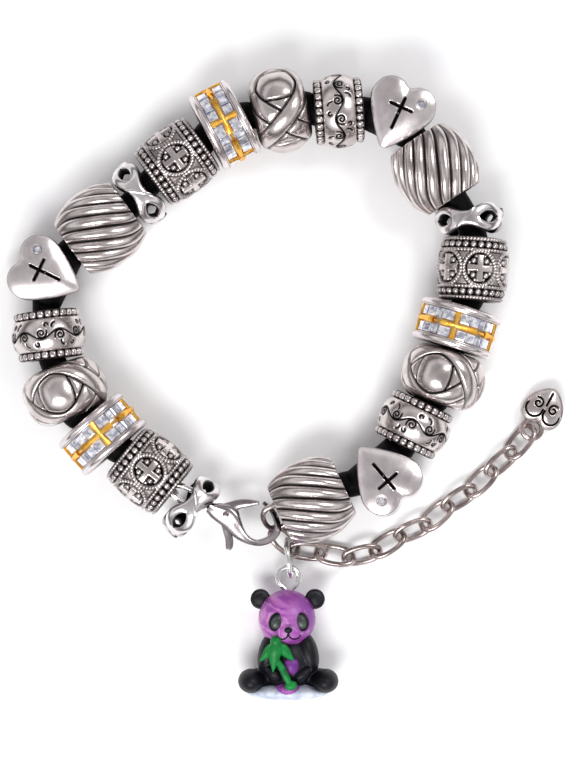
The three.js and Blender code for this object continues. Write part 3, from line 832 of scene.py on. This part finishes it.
def smooth_path(points, per_span):
    """A centripetal Catmull-Rom curve through points."""
    points = np.asarray(points, float)
    points = np.vstack([2 * points[0] - points[1], points, 2 * points[-1] - points[-2]])
    curve = []
    for p0, p1, p2, p3 in zip(points[:-3], points[1:-2], points[2:-1], points[3:]):
        spans = np.diff([p0, p1, p2, p3], axis=0)
        d0, d1, d2 = (max(np.linalg.norm(span) ** 0.5, 1e-6) for span in spans)
        start = (p1 - p0) / d0 - (p2 - p0) / (d0 + d1) + (p2 - p1) / d1
        end = (p2 - p1) / d1 - (p3 - p1) / (d1 + d2) + (p3 - p2) / d2
        t = np.linspace(0, 1, per_span, endpoint=False)[:, None]
        h = 2 * t**3 - 3 * t**2
        bend = (t**3 - 2 * t**2 + t) * d1 * start
        curve.append((h + 1) * p1 + bend - h * p2 + (t**3 - t**2) * d1 * end)
    return np.vstack([*curve, points[-2:-1]])


def lathe(profile, sides=48):
    """A solid of revolution about X from (x, radius) points, its ends capped."""
    rings = [np.column_stack([np.full(sides, x), *circle(r, sides)]) for x, r in profile]
    return loft(rings)


# How far the cord runs straight from the middle of each bead, and past the middle of the end beads.
BORE_REACH = {
    "granulated": 4.3, "two_tone": 2.9, "knot": 3.7, "scroll": 3.3, "heart": 1.5, "ribbed": 4.8,
}
CORD_END = 1.2
CORD_RADIUS = 2.0
EYE_RADIUS = 1.11
SLEEVE = mirrored([(-4.2, 2.2), (-4.2, 3.0), (-4.1, 3.2), (-3.0, 3.2)], (0, 3.2))  # in a heart


def add_cord():
    """The rubber cord with a thick stretch in each heart."""
    route, sleeves = [], []
    for node, (heading, roll, _) in BEADS.items():
        kind = node.rsplit("_", 1)[0]
        if kind == "ichthys":
            continue
        origin, axes = bead_frame(node, heading, roll)
        along = turn_z(heading)[:, 0]
        if kind == "heart":
            origin = origin + axes @ HEART_BORE_AT
            sleeves.append(moved(lathe(SLEEVE), (origin, turn_z(heading))))
        start = CORD_END if node == "granulated_1" else BORE_REACH[kind]
        end = CORD_END if node == "ribbed_3" else BORE_REACH[kind]
        route += [origin - start * along, origin + end * along]
    cord = tube(smooth_path(route, 9), CORD_RADIUS, 24, closed=False)
    piece("cord", merged([cord, *sleeves]), "rubber_black", RUBBER, ["core_cord"])


def eye_wire(x, y, wire):
    """The wire eye of an end cap or the clasp, in the XZ plane."""
    across, up = circle(EYE_RADIUS, 40)
    ring = np.column_stack([across + x, np.full(40, y), up])
    return tube(ring, wire, 14, up=(0, 1, 0))


def add_cap(node, heading):
    """An end cap: a plug in the bead's bore and the eye that stands out of it."""
    axes = turn_z(heading)
    low, high = box_along(node_points(node), axes)
    origin = axes @ [low[0], (low[1] + high[1]) / 2, (low[2] + high[2]) / 2]
    plug = [
        (0, 1.5), (0, 2.0), (0.12, 2.1), (0.9, 2.1), (1.05, 1.95), (1.2, 2.08), (1.4, 2.0),
        (1.55, 1.3), (1.6, 0.6),
    ]
    shape = merged([lathe(plug), eye_wire(2.61, 0, 0.26)])
    piece(f"{node}_plug", shape, "antique_silver", ANTIQUE, [node], (origin, axes))


add_cord()
add_cap("end_cap_1", BEADS["granulated_1"][0] + 180)
add_cap("end_cap_2", BEADS["ribbed_3"][0])


# --- The clasp, in its own plane: the pivot at the origin, the hook towards +X ---

# Opposite points (x, y, x, y) on the two edges of a casting: the body from its eye round to the tip
# of the hook, and the lever from its tip to its thumb tab.
CLASP_EDGES = [
    (-2.9, -0.9, -2.6, 0.6), (-1.6, -1.5, -1.0, 1.2), (0.3, -2.0, 0.2, 1.5),
    (1.4, -2.4, 1.5, 1.1), (2.6, -2.75, 2.1, 0.4), (3.8, -2.85, 3.1, -0.7),
    (5.0, -2.8, 4.3, -1.6), (6.0, -2.55, 5.5, -1.75), (6.8, -2.2, 6.2, -1.4),
    (8.0, -1.1, 7.1, -0.4), (8.55, 0.3, 7.45, 0.6), (8.35, 1.5, 7.2, 1.5), (7.5, 2.6, 6.7, 2.1),
    (6.3, 3.5, 5.6, 3.0), (4.45, 4.05, 4.3, 3.5),
]
LEVER_EDGES = [
    (3.7, 3.75, 3.95, 3.3), (2.5, 3.45, 2.9, 2.45), (1.1, 2.85, 2.2, 1.95), (-0.2, 1.9, 1.6, 1.5),
    (-1.1, 0.9, 1.15, 0.3), (-0.6, -1.0, 1.5, -1.2), (0.4, -2.3, 2.2, -2.6),
    (1.45, -3.6, 2.75, -3.5), (1.85, -4.4, 2.95, -4.25), (2.1, -4.8, 2.8, -4.72),
]
CLASP_PIVOT = (-5.8, -32.0, 6.4)
CLASP_AZIMUTH = -24
LEVER_SLOT = (-1.7, -4.6, -0.74), (3.0, 4.6, 0.74)  # the slot for the lever in the body


def edge_sweep(edges, half_height, section):
    """A casting drawn between two edges; the section is (across -1..1, height -1..1) points."""
    outer = smooth_path([(x, y, 0) for x, y, _, _ in edges], 6)
    inner = smooth_path([(x, y, 0) for _, _, x, y in edges], 6)
    middle, half = (outer + inner) / 2, (outer - inner) / 2
    rings = [middle + half * w + np.outer(h * half_height(middle), [0, 0, 1]) for w, h in section]
    return loft(np.stack(rings, axis=1)[:, ::-1])


def clasp_height(points):
    """Half the body's thickness, less towards the tip of the hook."""
    along = ease(2.5, 8.0, points[:, 0] + np.clip(points[:, 1], 0, None))
    return 1.4 - 0.72 * along


def lever_height(points):
    """Half the lever's thickness, the same all along."""
    return np.full(len(points), 0.6)


def mirrored_section(top):
    """A closed section from its upper half, given from the outer edge to the inner."""
    return top + [(w, -h) for w, h in reversed(top)]


def add_clasp():
    """The clasp's body with its eye and pin, and the lever in its slot."""
    place = (SHIFT + CLASP_PIVOT, turn_z(CLASP_AZIMUTH))
    ridge = mirrored_section([
        (1, 0.4), (0.93, 0.55), (0.5, 0.68), (0, 0.84), (-0.35, 0.98), (-0.6, 1.0), (-0.85, 0.85),
        (-0.98, 0.5),
    ])
    hook = edge_sweep(CLASP_EDGES, clasp_height, ridge)
    body = piece("clasp_hook", hook, "bright_silver", GREY, ["clasp_body"], place)
    (x0, y0, z0), (x1, y1, z1) = LEVER_SLOT
    slot = [[(x0, y0, z), (x1, y0, z), (x1, y1, z), (x0, y1, z)] for z in (z0, z1)]
    cut_away(body, loft(slot), place)
    eye = eye_wire(-3.86, -0.1, 0.27)
    neck = lathe([(-3.0, 0.45), (-2.75, 0.62), (-2.5, 0.7)], 24)
    verts, faces = lathe(mirrored([(-1.46, 0.2), (-1.44, 0.4), (-1.38, 0.5), (-1.2, 0.4)]), 32)
    upright = verts @ np.array([[0, 0, 1.0], [0, 1, 0], [-1, 0, 0]])
    piece("clasp_fittings", merged([eye, neck, (upright, faces)]), "bright_silver", GREY, (), place)
    flat = mirrored_section([
        (1, 0.4), (0.93, 0.8), (0.75, 1), (0, 1), (-0.75, 1), (-0.93, 0.8), (-1, 0.4),
    ])
    lever = edge_sweep(LEVER_EDGES, lever_height, flat)
    piece("lever_arm", lever, "bright_silver", GREY, ["clasp_lever"], place, body="clasp_lever")


add_clasp()


# --- Links, rings, the end heart ---


def oval(length, width, steps=64):
    """A link's middle line in the XY plane, straighter along its sides."""
    c, s = circle(1, steps)
    shape = np.column_stack([np.sign(c) * np.abs(c) ** 0.86, np.sign(s) * np.abs(s) ** 0.8, 0 * s])
    return shape * [length / 2, width / 2, 0]


def add_link(node, slot, material, wire):
    """A link of wire, a little thicker at its ends."""
    origin, axes, size = principal_frame(node)
    ring = oval(size[0] - wire, size[1] - wire)
    thick = wire / 2 * (1 + 0.06 * np.cos(np.arange(len(ring)) * TAU / len(ring) * 2))
    piece(f"{node}_wire", tube(ring, thick, 18), slot, material, [node], (origin, axes))


def end_heart_cut(x, y):
    """Two mirrored spirals with a groove between them."""
    strokes = [[(0.2, 0), (2.3, 0)]]
    for side in (1, -1):
        strokes.append(spiral(0.0, 1.28, 0.92, 0.22, 30, -430) * [1, side])
        strokes.append(spiral(-0.95, 1.42, 1.28, 1.28, 70, 215) * [1, side])
    return groove(stroke_distance(x, y, strokes), 0.17, 0.3)


END_HEART_AT, END_HEART_HEADING = (42.45, -16.05, 1.7), 60
EYE_PIN_AT = (3.5, -41.9, 3.3)


def add_end_heart():
    """The flat heart at the chain's end and the ring soldered to it."""
    place = SHIFT + END_HEART_AT, turn_z(END_HEART_HEADING)
    sizes = {"width": 6.4, "height": 6.3, "wall": 0.85, "notch": 0.55}
    shape, dark = puffed_heart(**sizes, full=1, count=168, cut=end_heart_cut)
    piece("end_heart_body", shape, "chain_metal", ANTIQUE, ["end_heart"], place, dark=dark)
    x, y = circle(1.5, 48)
    ring = np.column_stack([x - 3.9, y, 0 * x])
    piece("end_heart_ring", tube(ring, 0.38, 16), "chain_metal", CHAIN, (), place)


def add_eye_pin():
    """The eye pin: a bow of wire closed at its neck, on a shank in the panda's head."""
    origin = SHIFT + EYE_PIN_AT
    angle = np.radians(np.linspace(-62, 242, 44))
    bow = np.column_stack([1.6 * np.cos(angle), 1.6 * np.sin(angle), 0 * angle])
    start, end = [[0.3, -2.3, 0], [0.34, -1.95, 0]], [[-0.34, -1.95, 0], [-0.3, -2.3, 0]]
    loop = smooth_path(np.vstack([start, bow, end]), 2)
    shank = lathe([(-3.35, 0.3), (-3.3, 0.42), (-2.3, 0.42), (-2.1, 0.5), (-1.95, 0.36)], 20)
    upright = shank[0] @ np.array([[0, 1.0, 0], [-1, 0, 0], [0, 0, 1]])
    shape = merged([tube(loop, 0.42, 16, closed=False), (upright, shank[1])])
    piece("eye_pin_wire", shape, "bright_silver", PALE, ["eye_pin"], (origin, np.eye(3)))


add_link("connector_link", "bright_silver", BRIGHT, 0.9)
add_link("charm_ring", "bright_silver", PALE, 0.8)
for index in range(1, 13):
    add_link(f"chain_link_{index}", "chain_metal", CHAIN, 0.82)
add_end_heart()
add_eye_pin()


# --- The resin panda, in loop coordinates: x and y as seen from above, z from the surface ---


def ball(place, size, steps=28, lean=0.0):
    """A rounded lump with the given half sizes, turned about Z by lean."""
    rings = []
    for polar in np.linspace(0.06, math.pi - 0.06, steps):
        x, z = circle(math.sin(polar), 2 * steps)
        rings.append(np.column_stack([x, np.full(2 * steps, math.cos(polar)), z]))
    verts, faces = loft(np.array(rings)[::-1])
    return np.asarray(place) + (verts * size) @ turn_z(lean).T, faces


def moulded(name, lumps, voxel, smooth, slot, material, nodes=()):
    """Lumps melted into one skin, as in a casting."""
    made = piece(name, merged(lumps), slot, material, nodes, IN_LOOP)
    remesh = made.modifiers.new("melt", "REMESH")
    remesh.mode = "VOXEL"
    remesh.voxel_size = voxel * MM
    soften = made.modifiers.new("soften", "SMOOTH")
    soften.factor, soften.iterations = 0.5, smooth
    applied(made)
    made.data.shade_smooth()


# The middle and the half sizes of two lumps of the head.
HEAD = (3.3, -47.85, 4.7), (4.3, 4.3, 4.1)
MUZZLE = (3.4, -49.4, 6.5), (2.6, 2.1, 2.5)


def front(lump, x, y):
    """The height of a lump's front over (x, y)."""
    middle, size = lump
    inside = 1 - ((x - middle[0]) / size[0]) ** 2 - ((y - middle[1]) / size[1]) ** 2
    return middle[2] + size[2] * math.sqrt(max(inside, 0))


def on_head(x, y, lift):
    """A point lifted off the head's front."""
    return (x, y, front(HEAD, x, y) + lift)


def on_muzzle(x, y):
    """A point on the front of the muzzle or of the head round it."""
    return (x, y, max(front(MUZZLE, x, y), front(HEAD, x, y)) - 0.02)


def leaf(start, end, width, thick):
    """A pointed leaf, widest in its first half."""
    t = np.linspace(0, 1, 26)
    path = np.asarray(start) + t[:, None] * (np.asarray(end, float) - start)
    radius = width * (0.06 + 0.94 * np.sin(math.pi * np.clip(t, 0.02, 0.985) ** 0.62))
    return tube(path, radius, 20, closed=False, flatten=thick / width)


def add_face():
    """Eye patches, each with a grey-green painted sheen on it, and nose and mouth, painted thickly
    on the head.
    """
    for side, x, lean in (("left", 1.75, -24), ("right", 5.4, 24)):
        patch = ball(on_head(x, -47.95, -0.32), (1.14, 1.5, 0.62), 24, lean=lean)
        piece(f"panda_{side}_patch", patch, "resin_navy", NAVY, (), IN_LOOP)
        # Painted sheen: a grey-green lid on each eye patch stands for its shine.
        eye = ball(on_head(x, -47.95, 0.02), (0.78, 1.1, 0.4), 20, lean=lean)
        piece(f"panda_{side}_eye", eye, "resin_navy", EYE_SHEEN, (), IN_LOOP)
    nose = ball(on_head(3.5, -49.05, 0.85), (0.6, 0.45, 0.42), 18)
    mouth = [
        (1.85, -49.95), (2.1, -50.35), (2.75, -50.5), (3.3, -50.15), (3.5, -49.6),
        (3.7, -50.15), (4.4, -50.5), (5.1, -50.3), (5.3, -49.9),
    ]
    line = tube(smooth_path([on_muzzle(x, y) for x, y in mouth], 5), 0.13, 10, closed=False)
    piece("panda_nose_and_mouth", merged([nose, line]), "resin_navy", NAVY, (), IN_LOOP)


def add_panda():
    """The sitting panda and its bamboo, in one casting painted in several colours."""
    head = [ball(*HEAD, 36), ball(*MUZZLE)]
    moulded("panda_head", head, 0.16, 6, "resin_purple", PURPLE, ["panda_charm"])
    ears = []
    for x, lean in ((-0.7, 25), (7.5, -25)):
        middle = (x, -44.95, 4.2)
        ears.append(ball(middle, (1.5, 1.5, 0.9), lean=lean))
        rim = np.column_stack([*circle(1.22, 30), np.full(30, 0.55)])
        ears.append(tube(rim + middle, 0.3, 12))
    moulded("panda_ears", ears, 0.12, 3, "resin_navy", NAVY)
    add_face()
    body = [
        ball((3.45, -54.5, 4.1), (4.0, 4.6, 3.5)),
        ball((0.5, -52.9, 5.0), (1.5, 3.2, 2.2), lean=-14),
        ball((6.5, -52.9, 5.0), (1.5, 3.2, 2.2), lean=14),
        ball((1.4, -55.9, 6.5), (1.5, 0.95, 1.4), lean=-35),
        ball((5.6, -56.0, 6.5), (1.7, 0.95, 1.4), lean=35),
        ball((-1.0, -57.2, 3.6), (2.2, 1.7, 2.6)),
        ball((8.0, -57.2, 3.6), (2.2, 1.7, 2.6)),
        ball((-2.1, -57.15, 5.4), (1.95, 1.8, 3.2)),
        ball((9.05, -57.15, 5.4), (2.0, 1.8, 3.2)),
    ]
    moulded("panda_body", body, 0.16, 3, "resin_navy", NAVY)
    base = ball((3.45, -58.9, 4.2), (6.3, 1.25, 4.0))
    moulded("panda_base", [base], 0.2, 3, "resin_pale", FROST)
    belly = ball((3.9, -54.6, 6.7), (1.3, 1.6, 1.3))
    moulded("panda_belly", [belly], 0.14, 3, "resin_purple", PLUM)
    patch = ball((3.4, -58.3, 5.2), (2.1, 1.15, 3.3))
    moulded("panda_base_patch", [patch], 0.14, 3, "resin_purple", PURPLE)
    bamboo = [
        ball((1.65, -50.8, 8.4), (0.85, 0.75, 0.75)),
        leaf((1.7, -50.6, 8.5), (1.2, -55.5, 8.2), 1.0, 0.75),
        leaf((1.8, -51.2, 8.2), (-0.85, -54.0, 7.7), 0.85, 0.5),
        leaf((1.9, -51.2, 8.2), (4.4, -53.9, 7.8), 0.85, 0.5),
        ball((2.9, -55.6, 8.2), (0.55, 2.5, 0.5), lean=26),
        ball((3.9, -57.5, 8.1), (0.95, 0.75, 0.6), lean=20),
    ]
    moulded("panda_bamboo", bamboo, 0.1, 2, "resin_green", GREEN)


add_panda()


# --- Stage ---


def floor():
    """A pale plain surface, a hair below the bracelet."""
    mesh = bpy.data.meshes.new("floor")
    size, level = 3.0, -0.00002
    corners = [(x * size, y * size, level) for x, y in ((-1, -1), (1, -1), (1, 1), (-1, 1))]
    mesh.from_pydata(corners, [], [(0, 1, 2, 3)])
    made = linked("floor", mesh)
    n = Nodes("floor")
    cloudy = n.spread(n.noise(60, 3), 0.3, 0.7)
    n.link(n.blend(cloudy, (250, 250, 250), (246, 246, 247)), "Base Color")
    n.link(0.6, "Roughness")
    n.link(0.2, "Specular IOR Level")
    mesh.materials.append(n.material)


def lamp(name, place, target, size, power):
    """A soft rectangular light, aimed at a point; millimetres and watts."""
    data = bpy.data.lights.new(name, "AREA")
    data.shape = "RECTANGLE"
    data.size, data.size_y = size[0] * MM, size[1] * MM
    data.energy = power
    made = linked(name, data)
    place, target = np.array(place, float), np.array(target, float)
    back = (place - target) / np.linalg.norm(place - target)
    side = np.cross([0, 1, 0.001], back)
    side /= np.linalg.norm(side)
    lift = np.cross(back, side)
    rows = np.column_stack([side, lift, back, place * MM])
    made.matrix_world = Matrix([*rows.tolist(), [0, 0, 0, 1]])


def dome():
    """The room: brighter overhead than at the horizon."""
    world = bpy.data.worlds.new("room")
    bpy.context.scene.world = world
    world.use_nodes = True
    tree = world.node_tree
    where = tree.nodes.new("ShaderNodeTexCoord").outputs["Generated"]
    split = tree.nodes.new("ShaderNodeSeparateXYZ")
    ramp = tree.nodes.new("ShaderNodeValToRGB")
    tree.links.new(where, split.inputs[0])
    tree.links.new(split.outputs["Z"], ramp.inputs[0])
    stops = ramp.color_ramp.elements
    stops[0].position, stops[0].color = 0.0, (0.4, 0.395, 0.4, 1)
    stops[1].position, stops[1].color = 1.0, (0.44, 0.43, 0.435, 1)
    for place, level in ((0.1, 0.2), (0.22, 0.07), (0.36, 0.7), (0.58, 0.9), (0.74, 0.52)):
        stops.new(place).color = (level, level * 0.985, level, 1)
    background = tree.nodes["Background"]
    tree.links.new(ramp.outputs["Color"], background.inputs["Color"])
    background.inputs["Strength"].default_value = 1.0


def camera():
    """Straight above the middle of the bracelet and its charm."""
    data = bpy.data.cameras.new("camera")
    data.sensor_width = 36
    data.lens = 94
    data.clip_start, data.clip_end = 0.01, 10
    made = linked("camera", data)
    made.location = (0.345 * MM, -0.02 * MM, 306.4 * MM)
    bpy.context.scene.camera = made


floor()
lamp("key", (-60, -200, 300), (0, 0, 0), (210, 130), 0.95)
lamp("fill", (190, 150, 280), (0, 0, 0), (120, 120), 0.45)
dome()
camera()
bpy.context.scene.view_settings.view_transform = "Standard"
